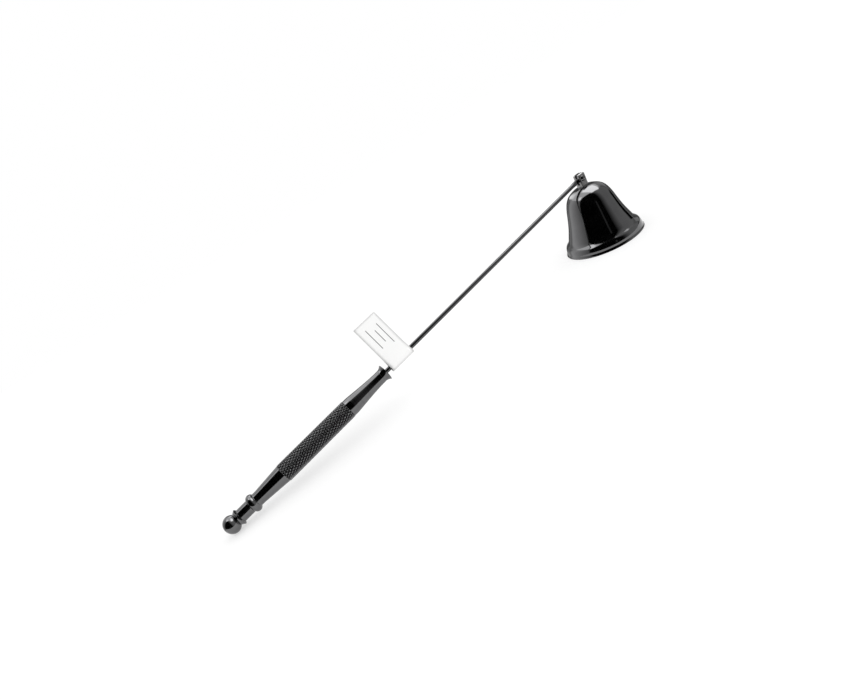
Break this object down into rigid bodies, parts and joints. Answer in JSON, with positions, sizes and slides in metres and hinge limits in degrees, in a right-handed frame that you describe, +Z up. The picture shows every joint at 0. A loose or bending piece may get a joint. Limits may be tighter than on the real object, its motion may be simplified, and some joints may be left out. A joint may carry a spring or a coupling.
{
  "type": "candle snuffer",
  "caption": "Candle snuffer: a small bell hinged to a long wire stem, with a slim turned handle that has a knurled grip and a ball end, and a folded paper tag on the stem.",
  "frame": {"origin": "centre of the bell's mouth, on the surface that the snuffer stands on", "axes": "+Z up along the bell's axis as it stands, the hinge pin along Y, the handle reaching along -X"},
  "size_m": [0.2431, 0.0402, 0.0379],
  "materials": {
    "bell_plating": "mirror black nickel plating on the spun bell",
    "hinge_plating": "mirror black nickel plating on the hinge and its fasteners",
    "stem_plating": "black nickel plating on drawn steel wire",
    "handle_plating": "mirror black nickel plating on turned bar",
    "grip_plating": "black nickel plating on a diamond knurl",
    "tag_paper": "smooth white coated paper"
  },
  "bodies": {
    "handle": {"end_ball": "handle_plating", "tail_ferrule": "handle_plating", "knurled_grip": "grip_plating", "nose_ferrule": "handle_plating", "nose_collar": "handle_plating", "stem": "stem_plating", "paper_tag": "tag_paper"},
    "bell": {"bell_shell": "bell_plating", "hinge_fork": "hinge_plating", "stud_washer": "hinge_plating", "stud_nut": "hinge_plating", "hinge_pin": "hinge_plating"}
  },
  "joints": [
    {"name": "bell_hinge", "type": "hinge", "parent": "handle", "child": "bell", "pos_m": [0, 0, 0.0341], "axis": [0, -1, 0], "range_deg": [-20, 215]}
  ]
}
